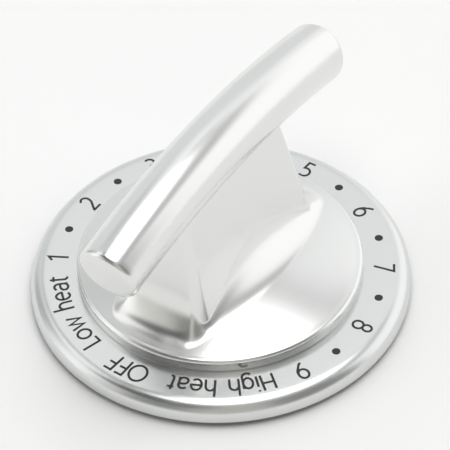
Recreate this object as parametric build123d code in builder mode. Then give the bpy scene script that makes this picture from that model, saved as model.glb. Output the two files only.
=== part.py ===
"""Stove knob with a printed dial skirt, a drafted pedestal and an arched grip bar.

The origin is on the shaft axis, in the plane of the shaft insert's foot, which stands on the cooker's panel
and holds the skirt clear of it. +Z runs out of the panel, and +Y points at the OFF mark, which is where the
grip bar points.
"""

import os
from math import radians, tan

from build123d import *

# Dial skirt, a pressed ring with a rounded rim
skirt_diameter = 60.0
skirt_height = 3.7
skirt_sheet = 1.2
skirt_shoulder_radius = 2.4
skirt_edge_radius = 0.7
dial_width = 7.5
dial_seat_width = 5.5
dial_key_depth = 2.0

# Dome, the round foot of the knob body
dome_wall_height = 2.0
dome_crown_height = 4.8
dome_edge_radius = 0.7
dome_shadow_chamfer = 0.25
dome_roof = 2.0

# Pedestal, a drafted shank that runs into the dome; its section is given at the bar's axis
shank_side_inset = 2.98
shank_end_inset = 9.8
shank_corner_radius = 1.5
shank_corner_growth = 1.0
shank_side_draft = 13.6
shank_end_draft = 7.9
foot_radius = 5.5

# Grip bar, a round bar arched along Y
bar_diameter = 10.0
bar_end_inset = 0.8
bar_rise = 3.4
bar_crown_height = 26.4
bar_edge_radius = 1.0

# Underside of the body
spigot_wall = 1.9
core_side_outset = 4.48
core_end_outset = 0.8
core_corner_radius = 3.0
core_height = 13.0
core_taper = 16.0

# Shaft insert, moulded round a quarter-inch D shaft
insert_clamp_width = 3.0
insert_standoff = 0.55
insert_flange = 1.4
insert_rim_width = 1.4
rib_width = 1.2
rib_count = 8
hub_foot_diameter = 13.0
socket_wall = 1.2
socket_depth = 10.0
socket_end = 1.0
shaft_diameter = 6.35
shaft_flat_offset = 1.585

# Spring clip, a bowed leaf behind the shaft's flat
clip_sheet = 0.35
clip_width = 4.2
clip_bow = 0.75
clip_end_margin = 0.6

# Countersunk screws that hold the insert and trap the skirt
screw_inset = 4.8
screw_diameter = 2.6
screw_head_diameter = 5.0
screw_length = 7.0
screw_boss_diameter = 4.9
screw_drive_width = 0.7
screw_drive_length = 2.6
screw_drive_depth = 0.8

# Clearances between the pieces
slip_clearance = 0.1
fit_clearance = 0.05

# Diameters, heights and radii that follow from the sizes above
dome_diameter = skirt_diameter - 2 * dial_width
dial_hole_diameter = dome_diameter - 2 * dial_seat_width
dial_hole_across_flats = dial_hole_diameter - 2 * dial_key_depth
insert_diameter = dial_hole_diameter + 2 * insert_clamp_width
bar_length = skirt_diameter - 2 * bar_end_inset
shank_top_width = bar_diameter - 2 * shank_side_inset
shank_top_length = dome_diameter - 2 * shank_end_inset
core_width = shank_top_width + 2 * core_side_outset
core_length = shank_top_length + 2 * core_end_outset
screw_spacing = dial_hole_across_flats - 2 * screw_inset
face_z = insert_standoff + skirt_height
skirt_under_z = face_z - skirt_sheet
spigot_z = skirt_under_z + slip_clearance
flange_z = skirt_under_z - insert_flange
foot_z = 0.0
recess_z = face_z + dome_crown_height - dome_roof - (dome_crown_height - dome_wall_height) / 2
bar_axis_z = face_z + bar_crown_height
socket_radius = shaft_diameter / 2 + fit_clearance
socket_flat_y = shaft_flat_offset + fit_clearance
clip_pocket_y = socket_flat_y + clip_sheet + clip_bow
hub_radius = socket_radius + socket_wall
spigot_radius = dial_hole_diameter / 2 - slip_clearance
shank_height = bar_crown_height - dome_wall_height
shank_foot_width = shank_top_width + 2 * shank_height * tan(radians(shank_side_draft))
shank_foot_length = shank_top_length + 2 * shank_height * tan(radians(shank_end_draft))
spigot_across_flats = dial_hole_across_flats - 2 * slip_clearance


def keyed_disc(radius, across_flats):
    """A disc with two flats that face +X and -X, which key the dial to the body."""
    with BuildSketch() as disc:
        Circle(radius)
        Rectangle(across_flats, 2 * radius, mode=Mode.INTERSECT)
    return disc.sketch


# Dial skirt
with BuildPart() as dial_skirt:
    with BuildSketch(Plane.XZ):
        with BuildLine():
            foot = Line(
                (skirt_diameter / 2 - skirt_sheet, insert_standoff),
                (skirt_diameter / 2 - skirt_edge_radius, insert_standoff),
            )
            edge = JernArc(foot @ 1, foot % 1, skirt_edge_radius, 90)
            rim = Line(edge @ 1, (skirt_diameter / 2, face_z - skirt_shoulder_radius))
            shoulder = JernArc(rim @ 1, rim % 1, skirt_shoulder_radius, 90)
            Polyline(shoulder @ 1, (0, face_z), (0, skirt_under_z), ((shoulder @ 1).X, skirt_under_z))
            under = JernArc(
                ((shoulder @ 1).X, skirt_under_z), (1, 0), skirt_shoulder_radius - skirt_sheet, -90
            )
            Line(under @ 1, foot @ 0)
        make_face()
    revolve(axis=Axis.Z)
    with BuildSketch(Plane.XY.offset(skirt_under_z)):
        add(keyed_disc(dial_hole_diameter / 2, dial_hole_across_flats))
    extrude(amount=skirt_sheet, mode=Mode.SUBTRACT)
dial_skirt.part.label = "dial_skirt"

# Pedestal, a ruled loft from the bar's axis down into the dome
with BuildPart() as pedestal:
    with BuildSketch(Plane.XY.offset(bar_axis_z)):
        RectangleRounded(shank_top_width, shank_top_length, shank_corner_radius)
    with BuildSketch(Plane.XY.offset(bar_axis_z - shank_height)):
        RectangleRounded(shank_foot_width, shank_foot_length, shank_corner_radius + shank_corner_growth)
    loft(ruled=True)

# Grip bar
with BuildPart() as grip_bar:
    with BuildLine() as bar_axis:
        ThreePointArc(
            (0, -bar_length / 2, bar_axis_z - bar_rise),
            (0, 0, bar_axis_z),
            (0, bar_length / 2, bar_axis_z - bar_rise),
        )
    with BuildSketch(Plane(origin=bar_axis.line @ 0, z_dir=bar_axis.line % 0)):
        Circle(bar_diameter / 2)
    sweep(path=bar_axis.line)
    fillet(grip_bar.faces().filter_by(GeomType.PLANE).edges(), bar_edge_radius)

# Knob body, one casting of dome, pedestal and bar
with BuildPart() as knob_body:
    with BuildSketch(Plane.XZ):
        with BuildLine():
            base = Line((0, face_z), (dome_diameter / 2, face_z))
            wall = Line(base @ 1, (dome_diameter / 2, face_z + dome_wall_height))
            ThreePointArc(
                wall @ 1,
                (dome_diameter / 4, face_z + dome_crown_height - (dome_crown_height - dome_wall_height) / 4),
                (0, face_z + dome_crown_height),
            )
            Line((0, face_z + dome_crown_height), base @ 0)
        make_face()
    revolve(axis=Axis.Z)
    fillet(knob_body.edges().filter_by(Edge.is_closed).sort_by(Axis.Z)[-1], dome_edge_radius)
    chamfer(knob_body.edges().filter_by(Edge.is_closed).sort_by(Axis.Z)[0], dome_shadow_chamfer)
    add(pedestal.part)
    fillet(knob_body.edges(Select.NEW), foot_radius)
    add(grip_bar.part)
    with BuildSketch(Plane.XY.offset(spigot_z)):
        add(keyed_disc(spigot_radius, spigot_across_flats))
    extrude(amount=face_z - spigot_z)
    with BuildSketch(Plane.XY.offset(spigot_z)):
        add(keyed_disc(spigot_radius - spigot_wall, spigot_across_flats - 2 * spigot_wall))
    extrude(amount=recess_z - spigot_z, mode=Mode.SUBTRACT)
    with BuildSketch(Plane.XY.offset(recess_z)):
        RectangleRounded(core_width, core_length, core_corner_radius)
    extrude(amount=core_height, taper=core_taper, mode=Mode.SUBTRACT)
    with BuildSketch(Plane.XY.offset(skirt_under_z)):
        with GridLocations(screw_spacing, 0, 2, 1):
            Circle(screw_boss_diameter / 2)
    extrude(amount=recess_z - skirt_under_z)
    with BuildSketch(Plane.XY.offset(skirt_under_z)):
        with GridLocations(screw_spacing, 0, 2, 1):
            Circle(screw_diameter / 2 + fit_clearance)
    extrude(amount=foot_z + screw_length + fit_clearance - skirt_under_z, mode=Mode.SUBTRACT)
knob_body.part.label = "knob_body"

# Shaft insert, a ribbed flange with a D socket that reaches up into the pedestal
with BuildPart() as shaft_insert:
    with BuildSketch(Plane.XY.offset(flange_z)):
        Circle(insert_diameter / 2)
    extrude(amount=insert_flange)
    with BuildSketch(Plane.XY.offset(foot_z)):
        Circle(insert_diameter / 2)
        Circle(insert_diameter / 2 - insert_rim_width, mode=Mode.SUBTRACT)
        Circle(hub_foot_diameter / 2)
        with GridLocations(screw_spacing, 0, 2, 1):
            Circle(screw_head_diameter / 2 + rib_width)
        with PolarLocations(insert_diameter / 4, rib_count):
            Rectangle(insert_diameter / 2 - insert_rim_width, rib_width)
    extrude(amount=flange_z - foot_z)
    with BuildSketch(Plane.XY.offset(foot_z)):
        Circle(hub_radius)
    extrude(amount=socket_depth + socket_end)
    with BuildSketch(Plane.XY.offset(foot_z)) as socket:
        Circle(socket_radius)
        with Locations((0, socket_flat_y)):
            Rectangle(2 * socket_radius, socket_radius, align=(Align.CENTER, Align.MIN), mode=Mode.SUBTRACT)
            Rectangle(
                clip_width + 2 * fit_clearance,
                clip_pocket_y - socket_flat_y,
                align=(Align.CENTER, Align.MIN),
            )
    extrude(amount=socket_depth, mode=Mode.SUBTRACT)
    with Locations(Plane.XY.offset(foot_z).rotated((180, 0, 0))):
        with GridLocations(screw_spacing, 0, 2, 1):
            CounterSinkHole(
                screw_diameter / 2 + fit_clearance,
                screw_head_diameter / 2 + fit_clearance,
                depth=skirt_under_z - foot_z,
            )
shaft_insert.part.label = "shaft_insert"

# Spring clip, bowed towards the shaft's flat
with BuildPart() as spring_clip:
    with BuildSketch(Plane.YZ):
        with BuildLine():
            clip_back_y = clip_pocket_y - fit_clearance
            clip_low_z = foot_z + clip_end_margin
            clip_high_z = foot_z + socket_depth - clip_end_margin
            back = ThreePointArc(
                (clip_back_y, clip_low_z),
                (clip_back_y - clip_bow, (clip_low_z + clip_high_z) / 2),
                (clip_back_y, clip_high_z),
            )
            front = offset(back, amount=clip_sheet, side=Side.LEFT, mode=Mode.ADD)
        make_face()
    extrude(amount=clip_width / 2, both=True)
spring_clip.part.label = "spring_clip"

# Insert screws, a pair with cross drives
with BuildPart() as screw:
    with BuildSketch(Plane.XZ):
        with BuildLine():
            Polyline(
                (0, foot_z),
                (screw_head_diameter / 2, foot_z),
                (screw_diameter / 2, foot_z + (screw_head_diameter - screw_diameter) / 2),
                (screw_diameter / 2, foot_z + screw_length - screw_diameter / 2),
                (0, foot_z + screw_length),
                close=True,
            )
        make_face()
    revolve(axis=Axis.Z)
    with BuildSketch(Plane.XY.offset(foot_z)):
        Rectangle(screw_drive_length, screw_drive_width)
        Rectangle(screw_drive_width, screw_drive_length)
    extrude(amount=screw_drive_depth, mode=Mode.SUBTRACT)

with BuildPart() as insert_screws:
    with GridLocations(screw_spacing, 0, 2, 1):
        add(screw.part)
insert_screws.part.label = "insert_screws"

os.makedirs("parts", exist_ok=True)
for piece in (dial_skirt, knob_body, shaft_insert, spring_clip, insert_screws):
    export_step(piece.part, f"parts/{piece.part.label}.step")
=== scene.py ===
"""Looks for a stove knob: plated body and grip bar, printed dial skirt, plastic insert, clip and screws.

Everything is in the part's own frame, in metres: the origin on the shaft axis at the insert's foot, +Z
out of the panel, +Y towards OFF. Sizes of the knob below are in millimetres and degrees, as in the part's
source; the floor and the light tent are in metres.
"""

import logging
import math
from dataclasses import dataclass
from enum import Enum

import bpy
from mathutils import Matrix, Vector


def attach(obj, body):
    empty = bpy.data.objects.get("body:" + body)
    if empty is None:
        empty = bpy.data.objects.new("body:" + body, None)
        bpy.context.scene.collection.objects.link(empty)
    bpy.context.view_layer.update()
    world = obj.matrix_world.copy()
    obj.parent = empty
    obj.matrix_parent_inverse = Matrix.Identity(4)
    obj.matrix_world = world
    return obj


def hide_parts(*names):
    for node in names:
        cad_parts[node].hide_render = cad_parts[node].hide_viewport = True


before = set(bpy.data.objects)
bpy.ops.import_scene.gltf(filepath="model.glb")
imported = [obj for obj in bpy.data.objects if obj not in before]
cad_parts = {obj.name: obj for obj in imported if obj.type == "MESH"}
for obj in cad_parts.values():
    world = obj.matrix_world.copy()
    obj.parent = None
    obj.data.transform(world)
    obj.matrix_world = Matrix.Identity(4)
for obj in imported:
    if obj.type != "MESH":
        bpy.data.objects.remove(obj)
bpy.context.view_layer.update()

MM = 0.001
FULL_TURN = 2 * math.pi
TINY = 1e-6
STANDOFF = 0.55
SKIRT_HEIGHT = 3.7
DIAL_FACE = STANDOFF + SKIRT_HEIGHT
LOG = logging.getLogger("stove_knob")

Point = tuple[float, float, float]
Flat = tuple[float, float]
Colour = tuple[float, float, float]
Face = tuple[int, ...]


class Slot(Enum):
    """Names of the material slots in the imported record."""

    DIAL = "dial_metal"
    INK = "dial_ink"
    PLATING = "satin_plating"


class Kind(Enum):
    """Kinds of node group sockets."""

    NUMBER = "NodeSocketFloat"
    COLOUR = "NodeSocketColor"


# Node groups shared by the finishes


@dataclass(frozen=True)
class Socket:
    """One socket of a node group."""

    name: str
    kind: Kind = Kind.NUMBER
    value: float = 0.0


def new_group(name: str, inputs: list[Socket], outputs: list[Socket]) -> bpy.types.NodeTree:
    """Starts a shader node group.

    Args:
        name: The group's name.
        inputs: Its input sockets, in order.
        outputs: Its output sockets, in order.

    Returns:
        The group, with its input and output nodes in place.
    """
    group = bpy.data.node_groups.new(name, "ShaderNodeTree")
    for direction, sockets in (("INPUT", inputs), ("OUTPUT", outputs)):
        for item in sockets:
            made = group.interface.new_socket(item.name, in_out=direction, socket_type=item.kind.value)
            if direction == "INPUT" and item.kind is Kind.NUMBER:
                made.default_value = item.value
    group.nodes.new("NodeGroupInput").name = "in"
    group.nodes.new("NodeGroupOutput").name = "out"
    return group


class Wiring:
    """Short calls for adding and linking nodes in one tree."""

    def __init__(self, tree: bpy.types.NodeTree) -> None:
        """Keeps the tree that the calls work on."""
        self.tree = tree

    def add(self, kind: str, **settings: object) -> bpy.types.Node:
        """Adds a node.

        Args:
            kind: The node's type name.
            settings: Attributes to set on it.

        Returns:
            The new node.
        """
        node = self.tree.nodes.new(kind)
        for key, value in settings.items():
            setattr(node, key, value)
        return node

    def feed(self, socket: bpy.types.NodeSocket, value: object) -> None:
        """Links a socket to another one, or sets its value.

        Args:
            socket: The input to feed.
            value: Another node's output, or a constant.
        """
        if isinstance(value, bpy.types.NodeSocket):
            self.tree.links.new(value, socket)
        else:
            socket.default_value = value

    def math(self, operation: str, *values: object) -> bpy.types.NodeSocket:
        """Adds a Math node.

        Args:
            operation: What it works out.
            values: Its inputs, in order.

        Returns:
            Its result.
        """
        node = self.add("ShaderNodeMath", operation=operation)
        for socket, value in zip(node.inputs, values):
            self.feed(socket, value)
        return node.outputs[0]

    def noise(self, vector: bpy.types.NodeSocket, scale: object, detail: float) -> bpy.types.NodeSocket:
        """Adds a Noise texture.

        Args:
            vector: Where it is read.
            scale: How fine it is.
            detail: How many finer layers it has.

        Returns:
            Its value.
        """
        node = self.add("ShaderNodeTexNoise")
        self.feed(node.inputs["Vector"], vector)
        self.feed(node.inputs["Scale"], scale)
        node.inputs["Detail"].default_value = detail
        return node.outputs["Fac"]

    def ramp(
        self, value: object, low: object, high: object, start: float, stop: float
    ) -> bpy.types.NodeSocket:
        """Adds a smooth Map Range node.

        Args:
            value: What it reads.
            low: The value at which it leaves its start.
            high: The value at which it reaches its stop.
            start: Its result up to low.
            stop: Its result from high on.

        Returns:
            Its result.
        """
        node = self.add("ShaderNodeMapRange", interpolation_type="SMOOTHSTEP")
        names = ("Value", "From Min", "From Max", "To Min", "To Max")
        for key, item in zip(names, (value, low, high, start, stop)):
            self.feed(node.inputs[key], item)
        return node.outputs["Result"]

    def blend(self, share: object, first: object, second: object) -> bpy.types.NodeSocket:
        """Mixes two colours.

        Args:
            share: The second colour's share.
            first: The first colour.
            second: The second colour.

        Returns:
            The mixed colour.
        """
        node = self.add("ShaderNodeMix", data_type="RGBA")
        self.feed(node.inputs["Factor"], share)
        self.feed(node.inputs["A"], first)
        self.feed(node.inputs["B"], second)
        return node.outputs["Result"]


def grain_group() -> bpy.types.NodeTree:
    """Makes the blasted grain that the metals and the plastic share.

    Returns:
        A group with Height, a fine grain, and Mottle, a slow variation, both about 0 to 1.
    """
    grain_detail, mottle_detail = 2.0, 3.0
    group = new_group(
        "blasted_grain",
        [Socket("Grain Scale", value=7000.0), Socket("Mottle Scale", value=90.0)],
        [Socket("Height"), Socket("Mottle")],
    )
    wire = Wiring(group)
    place = wire.add("ShaderNodeTexCoord").outputs["Object"]
    sizes = group.nodes["in"].outputs
    result = group.nodes["out"].inputs
    wire.feed(result["Height"], wire.noise(place, sizes["Grain Scale"], grain_detail))
    wire.feed(result["Mottle"], wire.noise(place, sizes["Mottle Scale"], mottle_detail))
    return group


def handling_group() -> bpy.types.NodeTree:
    """Makes the faint marks of handling that the outside metals share.

    Returns:
        A group with Smudge, a sparse mask of 0 to 1.
    """
    cloud_detail = 4.0
    bare_level, full_level = 0.9, 0.92
    group = new_group(
        "handling_marks",
        [Socket("Scale", value=130.0), Socket("Cover", value=0.4)],
        [Socket("Smudge")],
    )
    wire = Wiring(group)
    place = wire.add("ShaderNodeTexCoord").outputs["Object"]
    given = group.nodes["in"].outputs
    cloud = wire.noise(place, given["Scale"], cloud_detail)
    low = wire.math("SUBTRACT", bare_level, given["Cover"])
    wire.feed(group.nodes["out"].inputs["Smudge"], wire.ramp(cloud, low, full_level, 0.0, 1.0))
    return group


GRAIN = grain_group()
HANDLING = handling_group()


@dataclass(frozen=True)
class Finish:
    """A grained finish: a colour with slow variation, a roughness and a grain.

    With an underside shade colour, the faces that look down take it and become less metallic and rougher:
    painted shade, standing in for the shadow under the part.
    """

    name: str
    colour: Colour
    shade: Colour
    roughness: float
    roughness_spread: float
    metallic: float
    grain_scale: float
    grain_depth: float
    mottle_scale: float
    smudge: float = 0.0
    underside_shade: Colour | None = None
    painted_shade_full: float = -0.42
    painted_shade_start: float = -0.30
    painted_shade_dulling: float = 0.3

    def make(self) -> bpy.types.Material:
        """Builds the material.

        Returns:
            The finished material.
        """
        material = bpy.data.materials.new(self.name)
        material.use_nodes = True
        wire = Wiring(material.node_tree)
        shader = material.node_tree.nodes["Principled BSDF"]
        shader.inputs["Metallic"].default_value = self.metallic
        grain = wire.add("ShaderNodeGroup", node_tree=GRAIN)
        grain.inputs["Grain Scale"].default_value = self.grain_scale
        grain.inputs["Mottle Scale"].default_value = self.mottle_scale
        tint = wire.blend(grain.outputs["Mottle"], (*self.shade, 1), (*self.colour, 1))
        spread = wire.math("MULTIPLY", grain.outputs["Mottle"], self.roughness_spread)
        rough = wire.math("ADD", spread, self.roughness - self.roughness_spread / 2)
        if self.smudge:
            marks = wire.add("ShaderNodeGroup", node_tree=HANDLING)
            rough = wire.math("ADD", rough, wire.math("MULTIPLY", marks.outputs["Smudge"], self.smudge))
        # Painted shade: faces that look down are darkened towards the underside colour, as the shadow
        # beneath them would be.
        if self.underside_shade:
            facing = wire.add("ShaderNodeSeparateXYZ")
            wire.feed(facing.inputs[0], wire.add("ShaderNodeTexCoord").outputs["Normal"])
            painted_shade = wire.ramp(facing.outputs["Z"], self.painted_shade_full, self.painted_shade_start, 1.0, 0.0)
            tint = wire.blend(painted_shade, tint, (*self.underside_shade, 1))
            wire.feed(shader.inputs["Metallic"], wire.math("SUBTRACT", self.metallic, painted_shade))
            rough = wire.math("ADD", rough, wire.math("MULTIPLY", painted_shade, self.painted_shade_dulling))
        wire.feed(shader.inputs["Base Color"], tint)
        wire.feed(shader.inputs["Roughness"], rough)
        bump = wire.add("ShaderNodeBump")
        bump.inputs["Strength"].default_value = 1.0
        bump.inputs["Distance"].default_value = self.grain_depth * MM
        wire.feed(bump.inputs["Height"], grain.outputs["Height"])
        wire.feed(shader.inputs["Normal"], bump.outputs["Normal"])
        return material


SATIN_PLATING = Finish(
    name="satin_plating",
    colour=(0.812, 0.816, 0.808),
    shade=(0.786, 0.790, 0.783),
    roughness=0.23,
    roughness_spread=0.03,
    metallic=1.0,
    grain_scale=7000.0,
    grain_depth=0.0012,
    mottle_scale=60.0,
    smudge=0.025,
)
SATIN_DIAL = Finish(
    name="satin_dial",
    colour=(0.736, 0.748, 0.745),
    shade=(0.714, 0.727, 0.725),
    roughness=0.26,
    roughness_spread=0.03,
    metallic=1.0,
    grain_scale=8000.0,
    grain_depth=0.0010,
    mottle_scale=70.0,
    smudge=0.02,
    # Painted shade: the dial's downward faces go near-black, standing in for the shadow in the gap under
    # the rim.
    underside_shade=(0.022, 0.022, 0.024),
)
DIAL_INK = Finish(
    name="dial_ink",
    colour=(0.020, 0.020, 0.021),
    shade=(0.012, 0.012, 0.013),
    roughness=0.48,
    roughness_spread=0.10,
    metallic=0.0,
    grain_scale=9000.0,
    grain_depth=0.0015,
    mottle_scale=500.0,
)
MOULDED_PLASTIC = Finish(
    name="moulded_plastic",
    colour=(0.030, 0.030, 0.032),
    shade=(0.020, 0.020, 0.021),
    roughness=0.52,
    roughness_spread=0.12,
    metallic=0.0,
    grain_scale=3200.0,
    grain_depth=0.006,
    mottle_scale=140.0,
)
SPRING_STEEL = Finish(
    name="spring_steel",
    colour=(0.40, 0.42, 0.46),
    shade=(0.28, 0.29, 0.34),
    roughness=0.30,
    roughness_spread=0.12,
    metallic=1.0,
    grain_scale=5000.0,
    grain_depth=0.002,
    mottle_scale=300.0,
)
ZINC_PLATE = Finish(
    name="zinc_plate",
    colour=(0.66, 0.66, 0.63),
    shade=(0.54, 0.55, 0.54),
    roughness=0.32,
    roughness_spread=0.12,
    metallic=1.0,
    grain_scale=5000.0,
    grain_depth=0.002,
    mottle_scale=350.0,
)


# Mesh making


class Grid:
    """Rows of points, each row a closed loop of the same length, that make one surface."""

    def __init__(self) -> None:
        """Starts with no rows."""
        self.rows: list[list[Point]] = []

    def row(self, points: list[Point]) -> None:
        """Adds the next loop of points, in millimetres."""
        self.rows.append(points)

    def points(self) -> list[Point]:
        """All points, row after row."""
        return [p for row in self.rows for p in row]

    def bands(self, spans: int) -> list[Face]:
        """Faces between neighbouring rows.

        Args:
            spans: How many bands there are, from the first row on; the last row's neighbour is the first.

        Returns:
            Vertex numbers of each face.
        """
        count = len(self.rows[0])
        faces: list[Face] = []
        for r in range(spans):
            low, high = r * count, ((r + 1) % len(self.rows)) * count
            for c in range(count):
                d = (c + 1) % count
                faces.append((low + c, high + c, high + d, low + d))
        return faces

    def mesh(self, name: str, sharp_degrees: float) -> bpy.types.Object:
        """Turns the rows into a smooth mesh; the first and last rows are closed with fans.

        Args:
            name: The piece's name.
            sharp_degrees: Edges that turn by more than this stay sharp.

        Returns:
            The new object, in the scene.
        """
        count = len(self.rows[0])
        points = self.points()
        faces = self.bands(len(self.rows) - 1)
        for r, flip in ((0, False), (len(self.rows) - 1, True)):
            centre = tuple(sum(p[i] for p in self.rows[r]) / count for i in range(3))
            points.append(centre)
            middle = len(points) - 1
            for c in range(count):
                first, second = r * count + c, r * count + (c + 1) % count
                faces.append((middle, second, first) if flip else (middle, first, second))
        return finished_mesh(name, points, faces, sharp_degrees)

    def ring(self, name: str, sharp_degrees: float) -> bpy.types.Object:
        """Turns the rows into a smooth mesh whose last row joins its first, as a ring has."""
        return finished_mesh(name, self.points(), self.bands(len(self.rows)), sharp_degrees)


def finished_mesh(
    name: str, points: list[Point], faces: list[Face], sharp_degrees: float
) -> bpy.types.Object:
    """Makes a smooth object of points in millimetres and of faces that are listed to look outward.

    Args:
        name: The piece's name.
        points: Vertices, in millimetres.
        faces: Vertex numbers of each face.
        sharp_degrees: Edges that turn by more than this stay sharp.

    Returns:
        The new object, linked into the scene.
    """
    mesh = bpy.data.meshes.new(name)
    mesh.from_pydata([[v * MM for v in p] for p in points], [], faces)
    mesh.validate()
    mesh.shade_smooth()
    mesh.set_sharp_from_angle(angle=math.radians(sharp_degrees))
    piece = bpy.data.objects.new(name, mesh)
    bpy.context.scene.collection.objects.link(piece)
    return piece


def ellipse_points(
    centre: Flat, wide: float, tall: float, start: float, stop: float, steps: int
) -> list[Flat]:
    """Points on a stretch of an ellipse with these half sizes, from a start to a stop in degrees."""
    turns = [math.radians(start + (stop - start) * i / steps) for i in range(steps + 1)]
    return [(centre[0] + wide * math.cos(t), centre[1] + tall * math.sin(t)) for t in turns]


def arc_points(centre: Flat, radius: float, start: float, stop: float, steps: int) -> list[Flat]:
    """Points on an arc, from a start to a stop in degrees, both ends included."""
    return ellipse_points(centre, radius, radius, start, stop, steps)


def dress(piece: bpy.types.Object, material: bpy.types.Material) -> None:
    """Gives a piece its one material and slot, and lets it ride on the part.

    Args:
        piece: The piece to dress.
        material: Its finish.
    """
    piece.data.materials.clear()
    piece.data.materials.append(material)
    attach(piece, "root")


# The dial skirt and its print


@dataclass
class DialSkirt:
    """The pressed ring with a rounded rim that carries the scale."""

    radius: float = 30.0
    standoff: float = STANDOFF
    height: float = SKIRT_HEIGHT
    sheet: float = 1.2
    shoulder: float = 2.4
    hole_radius: float = 17.0
    hole_half_flats: float = 15.0
    lower_edge: float = 0.7
    inner_edge: float = 0.15
    middle_row: float = 22.0
    rim_lead: float = 0.6
    rim_steps: int = 20
    lip_steps: int = 10
    edge_steps: int = 4
    segments: int = 288
    crease: float = 40.0

    def profile(self) -> list[Flat]:
        """The ring's section.

        Returns:
            Radius and height of each point, from the hole's top edge round the rim and back.
        """
        inner = self.shoulder - self.sheet
        turn = (self.radius - self.shoulder, self.height - self.shoulder)
        wall = self.radius - self.sheet
        under = self.height - self.sheet
        rows = (self.hole_radius, self.middle_row, turn[0] - self.rim_lead)
        top = [(reach, self.height) for reach in rows]
        bottom = [(reach, under) for reach in (self.middle_row, self.hole_radius)]
        rim = arc_points(turn, self.shoulder, 90, 0, self.rim_steps)
        outer = (self.radius - self.lower_edge, self.lower_edge)
        outer_lip = arc_points(outer, self.lower_edge, 0, -90, self.lip_steps)
        inner_turn = (wall + self.inner_edge, self.inner_edge)
        inner_lip = arc_points(inner_turn, self.inner_edge, -90, -180, self.edge_steps)
        back = arc_points(turn, inner, 0, 90, self.lip_steps)
        return [*top, *rim, *outer_lip, *inner_lip, *back, *bottom]

    def build(self) -> list[bpy.types.Object]:
        """Spins the section, with two flats in the hole, and dresses the ring.

        Returns:
            The ring.
        """
        grid = Grid()
        for radius, height in self.profile():
            loop: list[Point] = []
            for i in range(self.segments):
                a = -FULL_TURN * i / self.segments
                reach = radius
                if radius <= self.hole_radius:
                    reach = min(radius, self.hole_half_flats / max(abs(math.cos(a)), TINY))
                loop.append((reach * math.cos(a), reach * math.sin(a), self.standoff + height))
            grid.row(loop)
        piece = grid.ring("dial_ring", self.crease)
        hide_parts("dial_skirt")
        dress(piece, SATIN_DIAL.make())
        return [piece]


@dataclass(frozen=True)
class Glyph:
    """One printed sign: its width and its strokes, in units of the cap height."""

    width: float
    strokes: tuple[tuple[Flat, ...], ...]


def bow(x: float, y: float, wide: float, tall: float, start: float, stop: float) -> list[Flat]:
    """Points about every 12 degrees on an elliptical stroke with these half sizes."""
    steps = max(4, round(abs(stop - start) / 12))
    return ellipse_points((x, y), wide, tall, start, stop, steps)


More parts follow.
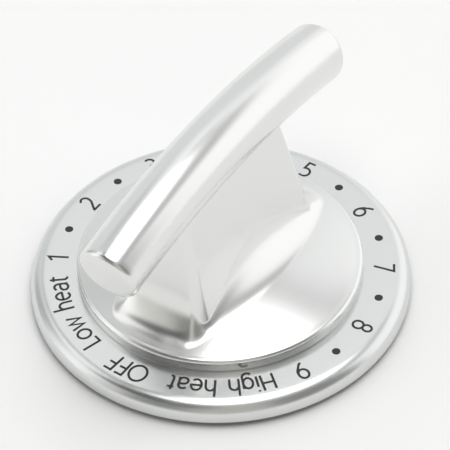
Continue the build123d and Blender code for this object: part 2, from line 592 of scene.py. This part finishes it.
def glyph_table() -> dict[str, Glyph]:
    """The signs of the dial: a light upright sans.

    Returns:
        Each character's glyph.
    """
    x_height = 0.68
    half = x_height / 2

    def sign(width: float, *strokes: list[Flat]) -> Glyph:
        """Packs strokes into a glyph."""
        return Glyph(width, tuple(tuple(s) for s in strokes))

    def bowl(centre: float, wide: float) -> list[Flat]:
        """A closed round of the small letters."""
        return bow(centre, half, wide, half, 90, 450)

    def arch(left: float, wide: float) -> list[Flat]:
        """The shoulder and right leg of h."""
        return [*bow(left + wide / 2, x_height - 0.26, wide / 2, 0.26, 170, 0), (left + wide, 0.0)]

    return {
        " ": Glyph(0.34, ()),
        "1": sign(0.30, [(0.0, 0.80), (0.24, 0.985), (0.24, 0.0)]),
        "2": sign(
            0.50,
            [
                *bow(0.23, 0.73, 0.23, 0.26, 150, -25),
                (0.40, 0.50),
                (0.02, 0.03),
                (0.02, 0.0),
                (0.50, 0.0),
            ],
        ),
        "3": sign(
            0.48,
            [*bow(0.20, 0.76, 0.24, 0.23, 130, -75), (0.14, 0.525)],
            [(0.14, 0.525), *bow(0.20, 0.265, 0.27, 0.26, 80, -130)],
        ),
        "4": sign(0.56, [(0.42, 0.0), (0.42, 0.98), (0.0, 0.28), (0.56, 0.28)]),
        "5": sign(
            0.48,
            [(0.44, 0.985), (0.08, 0.985), (0.05, 0.55), *bow(0.19, 0.29, 0.28, 0.29, 110, -125)],
        ),
        "6": sign(
            0.52,
            [(0.44, 0.99), (0.30, 0.88), *bow(0.45, 0.33, 0.43, 0.48, 128, 172)],
            bow(0.265, 0.29, 0.245, 0.29, 90, 450),
        ),
        "7": sign(0.48, [(0.0, 0.985), (0.48, 0.985), (0.14, 0.0)]),
        "8": sign(
            0.52,
            bow(0.26, 0.755, 0.205, 0.235, 90, 450),
            bow(0.26, 0.265, 0.25, 0.265, 90, 450),
        ),
        "9": sign(
            0.52,
            [(0.08, 0.0), (0.22, 0.11), *bow(0.07, 0.66, 0.43, 0.48, -52, -8)],
            bow(0.255, 0.70, 0.245, 0.29, 90, 450),
        ),
        "O": sign(0.86, bow(0.43, 0.49, 0.43, 0.50, 90, 450)),
        "F": sign(0.44, [(0.44, 0.985), (0.03, 0.985), (0.03, 0.0)], [(0.03, 0.53), (0.41, 0.53)]),
        "L": sign(0.42, [(0.03, 0.985), (0.03, 0.0), (0.42, 0.0)]),
        "H": sign(
            0.62,
            [(0.03, 0.0), (0.03, 0.985)],
            [(0.59, 0.0), (0.59, 0.985)],
            [(0.03, 0.52), (0.59, 0.52)],
        ),
        "o": sign(0.60, bowl(0.30, 0.29)),
        "w": sign(
            0.82,
            [(0.0, x_height), (0.20, 0.0), (0.41, x_height - 0.03), (0.62, 0.0), (0.82, x_height)],
        ),
        "h": sign(0.50, [(0.03, 0.0), (0.03, 1.06)], arch(0.03, 0.44)),
        "e": sign(0.54, [(0.03, 0.37), (0.52, 0.37), *bow(0.275, half + 0.01, 0.25, half, 5, 310)]),
        "a": sign(
            0.46,
            [*bow(0.22, x_height - 0.22, 0.21, 0.22, 145, 0), (0.43, 0.0)],
            [(0.43, 0.40), *bow(0.22, 0.19, 0.21, 0.19, 90, 330), (0.43, 0.14)],
        ),
        "t": sign(
            0.34,
            [(0.12, 0.86), (0.12, 0.16), *bow(0.26, 0.15, 0.14, 0.15, 180, 285)],
            [(0.0, x_height), (0.33, x_height)],
        ),
        "i": sign(0.08, [(0.04, 0.0), (0.04, x_height)], [(0.04, 0.90), (0.04, 0.985)]),
        "g": sign(
            0.52,
            bow(0.25, half + 0.01, 0.23, half - 0.01, 90, 450),
            [(0.48, x_height), (0.48, -0.04), *bow(0.25, -0.06, 0.23, 0.22, 0, -140)],
        ),
    }


@dataclass(frozen=True)
class Mark:
    """A word or number on the dial: its text and its middle, in degrees clockwise from OFF."""

    text: str
    angle: float


@dataclass
class DialPrint:
    """The black scale: numbers, dots and words, as thin raised ink."""

    face_height: float = DIAL_FACE
    baseline: float = 24.15
    cap_height: float = 3.2
    stroke: float = 0.38
    gap: float = 0.155
    ink: float = 0.02
    ink_step: float = 0.0012
    ink_levels: int = 5
    mitre_limit: float = 0.45
    dot_circle: float = 25.75
    dot_radius: float = 0.66
    dot_steps: int = 14
    dot_end: float = 1e-4
    low_word: float = 34.7
    high_word: float = -33.6
    first_number: float = 62.0
    number_step: float = 29.5
    numbers: int = 9
    crease: float = 30.0

    def marks(self) -> list[Mark]:
        """Where each number and word stands.

        Returns:
            The marks, words first.
        """
        found = [Mark("OFF", 0.0), Mark("Low heat", self.low_word), Mark("High heat", self.high_word)]
        for i in range(self.numbers):
            found.append(Mark(str(i + 1), self.first_number + i * self.number_step))
        return found

    def place(self, along: float, up: float, angle: float) -> Flat:
        """Turns a place beside a mark's middle into a place on the dial.

        Args:
            along: Its distance to the right of the middle.
            up: Its height above the baseline.
            angle: The mark's angle, in degrees clockwise from OFF.

        Returns:
            Its X and Y on the dial.
        """
        a = math.radians(angle)
        out = self.baseline + up
        return (out * math.sin(a) + along * math.cos(a), out * math.cos(a) - along * math.sin(a))

    def ribbon(self, path: list[Flat]) -> tuple[list[Flat], list[Flat]]:
        """The two edges of a stroke.

        Args:
            path: The stroke's middle line; a closed one repeats its first point.

        Returns:
            The left and the right edge, a point for each of the path's.
        """
        closed = math.dist(path[0], path[-1]) < TINY
        points = path[:-1] if closed else path
        left: list[Flat] = []
        right: list[Flat] = []
        for i, here in enumerate(points):
            before = points[i - 1] if closed or i else here
            after = points[(i + 1) % len(points)] if closed or i < len(points) - 1 else here
            first = Vector(here) - Vector(before)
            second = Vector(after) - Vector(here)
            first = first.normalized() if first.length else second.normalized()
            second = second.normalized() if second.length else first
            normal = Vector((-(first.y + second.y), first.x + second.x))
            normal = normal.normalized() if normal.length > TINY else Vector((-first.y, first.x))
            lean = max(self.mitre_limit, normal.dot(Vector((-first.y, first.x))))
            offset = normal * (self.stroke / 2 / lean)
            left.append((here[0] + offset.x, here[1] + offset.y))
            right.append((here[0] - offset.x, here[1] - offset.y))
        if closed:
            left.append(left[0])
            right.append(right[0])
        return left, right

    def build(self) -> list[bpy.types.Object]:
        """Draws every stroke and dot as thin closed ink, and dresses it.

        Returns:
            The print.
        """
        glyphs = glyph_table()
        points: list[Point] = []
        faces: list[Face] = []
        level = 0

        def raise_ink(outline: list[tuple[Flat, Flat]]) -> None:
            """Adds one closed slab, a little higher than the last so that crossing strokes don't meet.

            Args:
                outline: Pairs of points on its two edges.
            """
            nonlocal level
            level = (level + 1) % self.ink_levels
            top = self.face_height + self.ink + self.ink_step * level
            start = len(points)
            for a, b in outline:
                points.extend(((*a, top), (*b, top), (*a, self.face_height), (*b, self.face_height)))
            for i in range(len(outline) - 1):
                n, m = start + 4 * i, start + 4 * (i + 1)
                faces.append((n, n + 1, m + 1, m))
                faces.append((n + 2, m + 2, m + 3, n + 3))
                faces.append((n, m, m + 2, n + 2))
                faces.append((n + 1, n + 3, m + 3, m + 1))
            last = start + 4 * (len(outline) - 1)
            faces.append((start, start + 2, start + 3, start + 1))
            faces.append((last, last + 1, last + 3, last + 2))

        for mark in self.marks():
            signs = [glyphs[c] for c in mark.text]
            wide = sum(s.width for s in signs) * self.cap_height
            total = wide + self.gap * self.cap_height * (len(signs) - 1)
            cursor = -total / 2
            middle = self.baseline + self.cap_height / 2
            for s in signs:
                span = s.width * self.cap_height
                angle = mark.angle + math.degrees((cursor + span / 2) / middle)
                for stroke in s.strokes:
                    path = [(x * self.cap_height - span / 2, y * self.cap_height) for x, y in stroke]
                    left, right = self.ribbon(path)
                    pairs = zip(left, right)
                    raise_ink([(self.place(*a, angle), self.place(*b, angle)) for a, b in pairs])
                cursor += span + self.gap * self.cap_height
        for i in range(self.numbers - 1):
            angle = self.first_number + (i + 0.5) * self.number_step
            up = self.dot_circle - self.baseline
            edge = arc_points((0.0, up), self.dot_radius, 0, 180, self.dot_steps)
            dot = [(self.place(x, y, angle), self.place(x, 2 * up - y, angle)) for x, y in edge]
            for end in (0, -1):
                dot[end] = (dot[end][0], self.place(edge[end][0], up - self.dot_end, angle))
            raise_ink(dot)
        piece = finished_mesh("dial_print", points, faces, self.crease)
        dress(piece, DIAL_INK.make())
        return [piece]


# The knob body


@dataclass
class KnobBody:
    """The plated casting: dome, drafted pedestal and arched grip bar."""

    face: float = DIAL_FACE
    dome_radius: float = 22.5
    dome_wall: float = 2.0
    dome_crown: float = 4.8
    dome_edge: float = 0.7
    dome_chamfer: float = 0.25
    shank_width: float = 4.04
    shank_length: float = 25.4
    shank_corner: float = 0.7
    side_draft: float = 13.6
    end_draft: float = 7.9
    corner_growth: float = 0.05
    end_bow: float = 0.6
    foot_at_ends: float = 4.1
    foot_at_sides: float = 4.2
    foot_at_corners: float = 1.2
    foot_half_length: float = 16.5
    foot_half_width: float = 8.6
    crescent_power: int = 6
    endwise_power: int = 4
    end_climb: float = 1.5
    end_flare: float = 0.75
    end_lip: float = 0.6
    side_climb: float = 1.5
    side_flare: float = 0.7
    side_lip: float = 0.72
    bar_radius: float = 5.0
    bar_length: float = 58.4
    bar_rise: float = 3.4
    bar_crown: float = 26.4
    bar_edge: float = 1.0
    spigot_radius: float = 16.9
    spigot_half_flats: float = 14.9
    spigot_wall: float = 1.9
    spigot_foot: float = 3.15
    recess_roof: float = 5.65
    core_width: float = 13.0
    core_length: float = 27.0
    core_corner: float = 3.0
    core_height: float = 13.0
    core_taper: float = 16.0
    core_top_corner: float = 0.5
    side_columns: int = 44
    end_columns: int = 18
    corner_columns: int = 22
    wall_rows: int = 14
    fillet_rows: int = 16
    dome_rows: int = 16
    dome_margin: float = 0.15
    edge_rows: int = 8
    bar_columns: int = 128
    bar_rows: int = 72
    bar_edge_rows: int = 10
    bar_end_rings: tuple[float, ...] = (0.45, 0.85)
    search_steps: int = 50
    crease: float = 32.0

    def dome_radius_of_crown(self) -> float:
        """Radius of the dome's spherical top."""
        drop = self.dome_crown - self.dome_wall
        return (self.dome_radius**2 + drop**2) / (2 * drop)

    def dome_height(self, reach: float) -> float:
        """Height of the dome's top above the dial's face, at a distance from the axis."""
        ball = self.dome_radius_of_crown()
        return self.dome_crown - ball + math.sqrt(ball**2 - reach**2)

    def loop(self, half_x: float, half_y: float, corner: float) -> list[tuple[Flat, Flat]]:
        """A rounded rectangle, with the same columns on it whatever its size.

        Args:
            half_x: Half its width.
            half_y: Half its length.
            corner: Its corner radius.

        Returns:
            Its points and the way out at each, clockwise from the +Y end as seen from above.
        """
        found: list[tuple[Flat, Flat]] = []
        in_x, in_y = half_x - corner, half_y - corner
        sides = (
            ((-in_x, half_y), (in_x, half_y), (in_x, in_y), 90.0, self.end_columns),
            ((half_x, in_y), (half_x, -in_y), (in_x, -in_y), 0.0, self.side_columns),
            ((in_x, -half_y), (-in_x, -half_y), (-in_x, -in_y), -90.0, self.end_columns),
            ((-half_x, -in_y), (-half_x, in_y), (-in_x, in_y), 180.0, self.side_columns),
        )
        for start, stop, centre, bearing, count in sides:
            out = (math.cos(math.radians(bearing)), math.sin(math.radians(bearing)))
            for i in range(count):
                t = i / count
                here = (start[0] + (stop[0] - start[0]) * t, start[1] + (stop[1] - start[1]) * t)
                found.append((here, out))
            for i in range(self.corner_columns):
                turn = math.radians(bearing - 90.0 * i / self.corner_columns)
                way = (math.cos(turn), math.sin(turn))
                found.append(((centre[0] + corner * way[0], centre[1] + corner * way[1]), way))
        return found

    def section(self, depth: float) -> list[tuple[Flat, Flat]]:
        """The shank's outline.

        Args:
            depth: How far below the bar's axis.

        Returns:
            Its points and the way out at each.
        """
        return self.loop(
            self.shank_width / 2 + depth * math.tan(math.radians(self.side_draft)),
            self.shank_length / 2 + depth * math.tan(math.radians(self.end_draft)),
            self.shank_corner + depth * self.corner_growth,
        )

    def foot_reach(self, meet: Vector, out: Vector) -> float:
        """How far the foot runs out over the dome.

        Args:
            meet: Where the wall would meet the dome.
            out: The way out in plan.

        Returns:
            The distance from the wall to the line on which the foot ends.
        """
        bulge = max(0.0, 1.0 - (meet.y / self.foot_half_length) ** 2)
        beside = self.foot_at_corners + (self.foot_at_sides - self.foot_at_corners) * bulge
        crescent = max(0.0, 1.0 - (meet.x / self.foot_half_width) ** self.crescent_power)
        ahead = self.foot_at_corners + (self.foot_at_ends - self.foot_at_corners) * crescent
        return beside + (ahead - beside) * out.y**self.endwise_power

    def columns(self) -> list[list[Point]]:
        """Points down the pedestal in each column, from the bar's axis to the dome.

        The foot flares from the wall gently, some way up, and then turns in a tight curve onto the dome.

        Returns:
            The columns, each with the same number of points; heights are above the dial's face.
        """
        ball = self.dome_radius_of_crown()
        middle = Vector((0, 0, self.dome_crown - ball))
        top = self.section(0.0)
        deep = self.section(self.bar_crown)
        found: list[list[Point]] = []
        for (first, out), (second, _) in zip(top, deep):
            high = Vector((*first, self.bar_crown))
            low = Vector((*second, 0.0))
            near, far = 0.0, 1.0
            for _ in range(self.search_steps):
                share = (near + far) / 2
                if (high.lerp(low, share) - middle).length > ball:
                    near = share
                else:
                    far = share
            way = Vector((*out, 0.0))
            endwise = way.y**self.endwise_power
            meet = high.lerp(low, near)
            meet += way * self.end_bow * endwise * max(0.0, 1.0 - (meet.x / self.foot_half_width) ** 2)
            meet.z = self.dome_height(meet.xy.length)
            up = (high - meet).normalized()
            reach = self.foot_reach(meet, way)
            swell = reach / self.foot_at_sides
            climb = self.side_climb * swell
            flare = self.side_flare * swell
            start = meet + up * reach * (climb + (self.end_climb - climb) * endwise)
            bend = meet + up * reach * (flare + (self.end_flare - flare) * endwise)
            end = meet + way * reach
            end.z = self.dome_height(end.xy.length)
            dome_normal = (end - middle).normalized()
            along = (way - dome_normal * way.dot(dome_normal)).normalized()
            lip = end - along * reach * (1.0 - self.side_lip - (self.end_lip - self.side_lip) * endwise)
            halfway = bend.lerp(lip, 0.5)
            column = [high.lerp(start, i / self.wall_rows) for i in range(self.wall_rows + 1)]
            for first_end, knee, last_end in ((start, bend, halfway), (halfway, lip, end)):
                for i in range(1, self.fillet_rows + 1):
                    t = i / self.fillet_rows
                    column.append(first_end.lerp(knee, t).lerp(knee.lerp(last_end, t), t))
            found.append([tuple(p) for p in column])
        return found

    def shell(self) -> bpy.types.Object:
        """Builds dome and pedestal as one closed, hollow skin.

        Returns:
            The shell, not yet dressed.
        """
        down = self.columns()
        edge_radius = self.dome_radius - self.dome_edge
        turns = [math.atan2(c[-1][1], c[-1][0]) for c in down]
        grid = Grid()
        for r in range(len(down[0])):
            grid.row([(c[r][0], c[r][1], self.face + c[r][2]) for c in down])
        for i in range(1, self.dome_rows + 1):
            loop: list[Point] = []
            for c, turn in zip(down, turns):
                foot = math.hypot(c[-1][0], c[-1][1])
                reach = foot + (edge_radius - self.dome_margin - foot) * i / self.dome_rows
                height = self.face + self.dome_height(reach)
                loop.append((reach * math.cos(turn), reach * math.sin(turn), height))
            grid.row(loop)
        slope = math.degrees(math.asin(edge_radius / self.dome_radius_of_crown()))
        lift = self.dome_height(edge_radius) - self.dome_edge * math.cos(math.radians(slope))
        rim = arc_points((edge_radius, lift), self.dome_edge, 90 - slope, 0, self.edge_rows)
        chamfer = self.dome_chamfer
        spigot = self.spigot_foot - self.face
        roof = self.recess_roof - self.face
        hollow = self.spigot_radius - self.spigot_wall
        seat = [(self.dome_radius, chamfer), (self.dome_radius - chamfer, 0.0), (self.spigot_radius, 0.0)]
        inside = [(self.spigot_radius, spigot), (hollow, spigot), (hollow, roof)]
        for reach, height in (*rim, *seat, *inside):
            loop = []
            for turn in turns:
                held = reach
                if reach <= self.spigot_radius:
                    flats = self.spigot_half_flats - (self.spigot_wall if reach <= hollow else 0.0)
                    held = min(reach, flats / max(abs(math.cos(turn)), TINY))
                loop.append((held * math.cos(turn), held * math.sin(turn), self.face + height))
            grid.row(loop)
        narrow = self.core_height * math.tan(math.radians(self.core_taper))
        half_x, half_y = self.core_width / 2, self.core_length / 2
        for half_a, half_b, corner, height in (
            (half_x, half_y, self.core_corner, self.recess_roof),
            (half_x - narrow, half_y - narrow, self.core_top_corner, self.recess_roof + self.core_height),
        ):
            grid.row([(x, y, height) for (x, y), _ in self.loop(half_a, half_b, corner)])
        piece = grid.mesh("knob_shell", self.crease)
        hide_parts("knob_body")
        return piece

    def bar(self) -> bpy.types.Object:
        """Builds the arched grip bar with rounded ends.

        Returns:
            The bar, not yet dressed.
        """
        half = self.bar_length / 2
        arch = (half**2 + self.bar_rise**2) / (2 * self.bar_rise)
        reach = math.asin(half / arch)
        axis = self.face + self.bar_crown
        tip = arch * reach
        edge = self.bar_edge
        near_end = [(-tip, (self.bar_radius - edge) * share) for share in self.bar_end_rings]
        for along, out in arc_points((0.0, 0.0), edge, 180, 90, self.bar_edge_rows):
            near_end.append((-tip + edge + along, self.bar_radius - edge + out))
        stations = list(near_end)
        for i in range(1, self.bar_rows):
            stations.append((-tip + edge + (2 * tip - 2 * edge) * i / self.bar_rows, self.bar_radius))
        stations += [(-along, out) for along, out in reversed(near_end)]
        grid = Grid()
        for along, out in stations:
            turn = along / arch
            loop: list[Point] = []
            for i in range(self.bar_columns):
                a = -FULL_TURN * i / self.bar_columns
                level = arch + out * math.cos(a)
                height = axis - arch + level * math.cos(turn)
                loop.append((out * math.sin(a), level * math.sin(turn), height))
            grid.row(loop)
        piece = grid.mesh("grip_bar", self.crease)
        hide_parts("knob_body")
        return piece

    def build(self) -> list[bpy.types.Object]:
        """Builds the casting's two skins and plates them.

        Returns:
            The shell and the bar.
        """
        plating = SATIN_PLATING.make()
        pieces = [self.shell(), self.bar()]
        for piece in pieces:
            dress(piece, plating)
        return pieces


# The hidden pieces


@dataclass
class HiddenPieces:
    """The insert, its clip and its screws, which keep the meshes of their solids."""

    finishes: tuple[tuple[str, Finish], ...] = (
        ("shaft_insert", MOULDED_PLASTIC),
        ("spring_clip", SPRING_STEEL),
        ("insert_screws", ZINC_PLATE),
    )

    def build(self) -> list[bpy.types.Object]:
        """Gives each solid its finish.

        Returns:
            The pieces.
        """
        pieces: list[bpy.types.Object] = []
        for node, finish in self.finishes:
            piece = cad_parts[node]
            piece.data.materials.clear()
            piece.data.materials.append(finish.make())
            pieces.append(piece)
        return pieces


# Stage, light and camera


@dataclass(frozen=True)
class Panel:
    """A light or dark panel of the tent.

    Its bearing is from the far side, clockwise as seen from above, and its heights are angles above
    the floor, all in degrees.
    """

    name: str
    bearing: float
    half_width: float
    low: float
    high: float
    softness: float
    colour: Colour


def panel_group() -> bpy.types.NodeTree:
    """Makes the mix of one soft-edged panel over what is behind it.

    Returns:
        A group that puts out the tent's colour with the panel on it.
    """
    colours = [Socket(name, Kind.COLOUR) for name in ("Behind", "Panel")]
    angles = ("Bearing", "Height", "Centre", "Half Width", "Low", "High", "Softness")
    group = new_group(
        "tent_panel",
        [*colours, *(Socket(name) for name in angles)],
        [Socket("Colour", Kind.COLOUR)],
    )
    wire = Wiring(group)
    given = group.nodes["in"].outputs
    fade = wire.math("MULTIPLY", given["Softness"], 0.5)

    def inside(distance: bpy.types.NodeSocket, limit: bpy.types.NodeSocket) -> bpy.types.NodeSocket:
        """One within a limit, none beyond it, with a soft edge."""
        begin = wire.math("SUBTRACT", limit, fade)
        return wire.ramp(distance, begin, wire.math("ADD", limit, fade), 1.0, 0.0)

    off = wire.math("WRAP", wire.math("SUBTRACT", given["Bearing"], given["Centre"]), 180.0, -180.0)
    across = inside(wire.math("ABSOLUTE", off), given["Half Width"])
    below = inside(given["Height"], given["High"])
    above = wire.math("SUBTRACT", 1.0, inside(given["Height"], given["Low"]))
    share = wire.math("MULTIPLY", wire.math("MULTIPLY", across, below), above)
    wire.feed(group.nodes["out"].inputs["Colour"], wire.blend(share, given["Behind"], given["Panel"]))
    return group


@dataclass
class Studio:
    """A pale floor inside a soft light tent, and the camera."""

    azimuth: float = 215.0
    elevation: float = 45.63
    distance: float = 444.2
    lens_pixels: float = 2821.0
    frame_pixels: float = 450.0
    aim_x: float = 220.38
    aim_y: float = 265.87
    roll: float = -2.27
    aim_height: float = DIAL_FACE
    sensor: float = 36.0
    clip_start: float = 0.02
    clip_end: float = 50.0
    floor_half: float = 12.0
    floor_colour: Colour = (0.984, 0.986, 0.987)
    floor_unevenness: float = 0.99
    floor_roughness: float = 0.9
    floor_cloud_scale: float = 6.0
    floor_cloud_detail: float = 2.0
    sky_level: float = 0.93
    tent_radius: float = 6.0
    tent_sink: float = 0.01
    tent_rings: int = 24
    tent_segments: int = 72
    tent_wall: Colour = (1.02, 1.03, 1.03)

    def panels(self) -> list[Panel]:
        """The tent's panels.

        Returns:
            The panels in order; a later one covers an earlier one.
        """
        return [
            Panel("far wall", -15.0, 30.0, -20.0, 41.0, 10.0, (0.82, 0.83, 0.83)),
            Panel("right light", 66.0, 37.0, -20.0, 44.0, 10.0, (1.22, 1.22, 1.21)),
            Panel("front", 180.0, 74.0, -20.0, 58.0, 14.0, (0.72, 0.71, 0.68)),
            Panel("right flag", 132.0, 26.0, 2.0, 58.0, 18.0, (0.27, 0.27, 0.26)),
            Panel("camera side", 180.0, 22.0, 0.0, 52.0, 16.0, (0.56, 0.55, 0.51)),
            Panel("left flag", -143.0, 18.0, 6.0, 56.0, 9.0, (0.28, 0.28, 0.27)),
            Panel("left light", -94.0, 11.0, -20.0, 46.0, 8.0, (1.25, 1.25, 1.24)),
            Panel("high left light", -69.0, 26.0, 42.0, 62.0, 8.0, (1.25, 1.25, 1.24)),
            Panel("far left gap", -30.0, 12.0, 39.0, 60.0, 7.0, (0.60, 0.61, 0.61)),
            Panel("left gap", -57.0, 13.0, -20.0, 40.0, 16.0, (0.50, 0.51, 0.51)),
            Panel("top light", 0.0, 200.0, 62.0, 95.0, 5.0, (2.72, 2.72, 2.70)),
            Panel("front edge", 180.0, 72.0, 52.0, 68.0, 12.0, (0.52, 0.52, 0.50)),
            Panel("right seam", 74.0, 38.0, 46.0, 61.0, 6.0, (0.45, 0.45, 0.45)),
            Panel("far seam", 24.0, 15.0, 53.0, 62.0, 5.0, (0.42, 0.42, 0.42)),
            Panel("left seam", -60.0, 38.0, 61.0, 73.0, 5.0, (0.06, 0.06, 0.06)),
            Panel("left edge", -156.0, 14.0, 36.0, 66.0, 8.0, (0.20, 0.20, 0.20)),
            Panel("left corner", -116.0, 24.0, 41.0, 70.0, 6.0, (0.04, 0.04, 0.04)),
        ]

    def toward(self) -> Vector:
        """Unit vector from the object to the camera."""
        a, e = math.radians(self.azimuth), math.radians(self.elevation)
        return Vector((math.sin(a) * math.cos(e), -math.cos(a) * math.cos(e), math.sin(e)))

    def camera(self) -> None:
        """Places the camera where the photograph was taken from."""
        toward = self.toward()
        right = Vector((-toward.y, toward.x, 0.0)).normalized()
        up = toward.cross(right)
        roll = math.radians(self.roll)
        side = right * math.cos(roll) + up * math.sin(roll)
        rise = up * math.cos(roll) - right * math.sin(roll)
        half = self.frame_pixels / 2
        shift_x = (self.aim_x - half) / self.lens_pixels
        shift_y = (half - self.aim_y) / self.lens_pixels
        forward = (-toward - side * shift_x - rise * shift_y).normalized()
        side = forward.cross(rise).normalized()
        rise = side.cross(forward)
        data = bpy.data.cameras.new("camera")
        data.sensor_width = self.sensor
        data.lens = self.lens_pixels / self.frame_pixels * self.sensor
        data.clip_start = self.clip_start
        data.clip_end = self.clip_end
        camera = bpy.data.objects.new("camera", data)
        place = Vector((0, 0, self.aim_height * MM)) + toward * self.distance * MM
        turn = Matrix((side, rise, -forward)).transposed()
        camera.matrix_world = Matrix.Translation(place) @ turn.to_4x4()
        bpy.context.scene.collection.objects.link(camera)
        bpy.context.scene.camera = camera

    def hang(
        self, name: str, points: list[Point], faces: list[Face], material: bpy.types.Material
    ) -> bpy.types.Object:
        """Puts a plain surface of the studio in the scene.

        Args:
            name: Its name.
            points: Its vertices, in metres.
            faces: Vertex numbers of each face.
            material: Its one material.

        Returns:
            The new object.
        """
        mesh = bpy.data.meshes.new(name)
        mesh.from_pydata(points, [], faces)
        mesh.materials.append(material)
        surface = bpy.data.objects.new(name, mesh)
        bpy.context.scene.collection.objects.link(surface)
        return surface

    def floor(self) -> None:
        """Lays the pale floor, with a faint unevenness in its colour."""
        size = self.floor_half
        corners = [(-size, -size, 0), (size, -size, 0), (size, size, 0), (-size, size, 0)]
        material = bpy.data.materials.new("pale_floor")
        material.use_nodes = True
        wire = Wiring(material.node_tree)
        shader = material.node_tree.nodes["Principled BSDF"]
        shader.inputs["Roughness"].default_value = self.floor_roughness
        shader.inputs["Specular IOR Level"].default_value = 0.0
        place = wire.add("ShaderNodeTexCoord").outputs["Object"]
        cloud = wire.noise(place, self.floor_cloud_scale, self.floor_cloud_detail)
        pale = tuple(self.floor_unevenness * c for c in self.floor_colour)
        wire.feed(shader.inputs["Base Color"], wire.blend(cloud, (*pale, 1), (*self.floor_colour, 1)))
        floor = self.hang("floor", corners, [(0, 1, 2, 3)], material)

    def tent(self) -> None:
        """Hangs the light tent: a far dome whose panels the metal shows and which lights the object."""
        rings, segments = self.tent_rings, self.tent_segments
        points: list[Point] = []
        faces: list[Face] = []
        for i in range(rings):
            rise = math.pi / 2 * i / rings
            flat = self.tent_radius * math.cos(rise)
            height = self.tent_radius * math.sin(rise) - self.tent_sink
            for k in range(segments):
                a = FULL_TURN * k / segments
                points.append((flat * math.cos(a), flat * math.sin(a), height))
        points.append((0.0, 0.0, self.tent_radius - self.tent_sink))
        for i in range(rings - 1):
            low, high = i * segments, (i + 1) * segments
            for k in range(segments):
                n = (k + 1) % segments
                faces.append((low + k, low + n, high + n, high + k))
        last = (rings - 1) * segments
        for k in range(segments):
            faces.append((last + k, last + (k + 1) % segments, len(points) - 1))
        tent = self.hang("light_tent", points, faces, self.tent_cloth())
        tent.visible_camera = False

    def tent_cloth(self) -> bpy.types.Material:
        """The tent's glowing cloth, with its panels.

        Returns:
            The cloth's material.
        """
        material = bpy.data.materials.new("tent_cloth")
        material.use_nodes = True
        tree = material.node_tree
        tree.nodes.clear()
        wire = Wiring(tree)
        away = -self.toward()
        far = Vector((away.x, away.y, 0)).normalized()
        side = Vector((far.y, -far.x, 0))
        place = wire.add("ShaderNodeTexCoord").outputs["Object"]
        reaches: list[bpy.types.NodeSocket] = []
        for direction in (side, far):
            dot = wire.add("ShaderNodeVectorMath", operation="DOT_PRODUCT")
            wire.feed(dot.inputs[0], place)
            dot.inputs[1].default_value = direction
            reaches.append(dot.outputs["Value"])
        bearing = wire.math("DEGREES", wire.math("ARCTAN2", *reaches))
        split = wire.add("ShaderNodeSeparateXYZ")
        wire.feed(split.inputs[0], place)
        rise = wire.math("DIVIDE", split.outputs["Z"], self.tent_radius)
        height = wire.math("DEGREES", wire.math("ARCSINE", rise))
        group = panel_group()
        colour: object = (*self.tent_wall, 1)
        for panel in self.panels():
            node = wire.add("ShaderNodeGroup", node_tree=group, label=panel.name)
            for key, value in (
                ("Behind", colour),
                ("Panel", (*panel.colour, 1)),
                ("Bearing", bearing),
                ("Height", height),
                ("Centre", panel.bearing),
                ("Half Width", panel.half_width),
                ("Low", panel.low),
                ("High", panel.high),
                ("Softness", panel.softness),
            ):
                wire.feed(node.inputs[key], value)
            colour = node.outputs["Colour"]
        glow = wire.add("ShaderNodeEmission")
        wire.feed(glow.inputs["Color"], colour)
        output = wire.add("ShaderNodeOutputMaterial")
        wire.feed(output.inputs["Surface"], glow.outputs["Emission"])
        return material

    def world(self) -> None:
        """Sets the plain white surroundings and the plain view transform."""
        world = bpy.data.worlds.new("white_room")
        world.use_nodes = True
        back = world.node_tree.nodes["Background"]
        back.inputs["Color"].default_value = (self.sky_level, self.sky_level, self.sky_level, 1)
        back.inputs["Strength"].default_value = 1.0
        bpy.context.scene.world = world
        bpy.context.scene.view_settings.view_transform = "Standard"


def main() -> None:
    """Builds the pieces in order and reports each one."""
    logging.basicConfig(level=logging.INFO, format="%(name)s: %(message)s")
    studio = Studio()
    studio.world()
    studio.floor()
    studio.tent()
    studio.camera()
    for assembly in (DialSkirt(), DialPrint(), KnobBody(), HiddenPieces()):
        for piece in assembly.build():
            LOG.info("%s: %d faces", piece.name, len(piece.data.polygons))


if __name__ == "__main__":
    main()
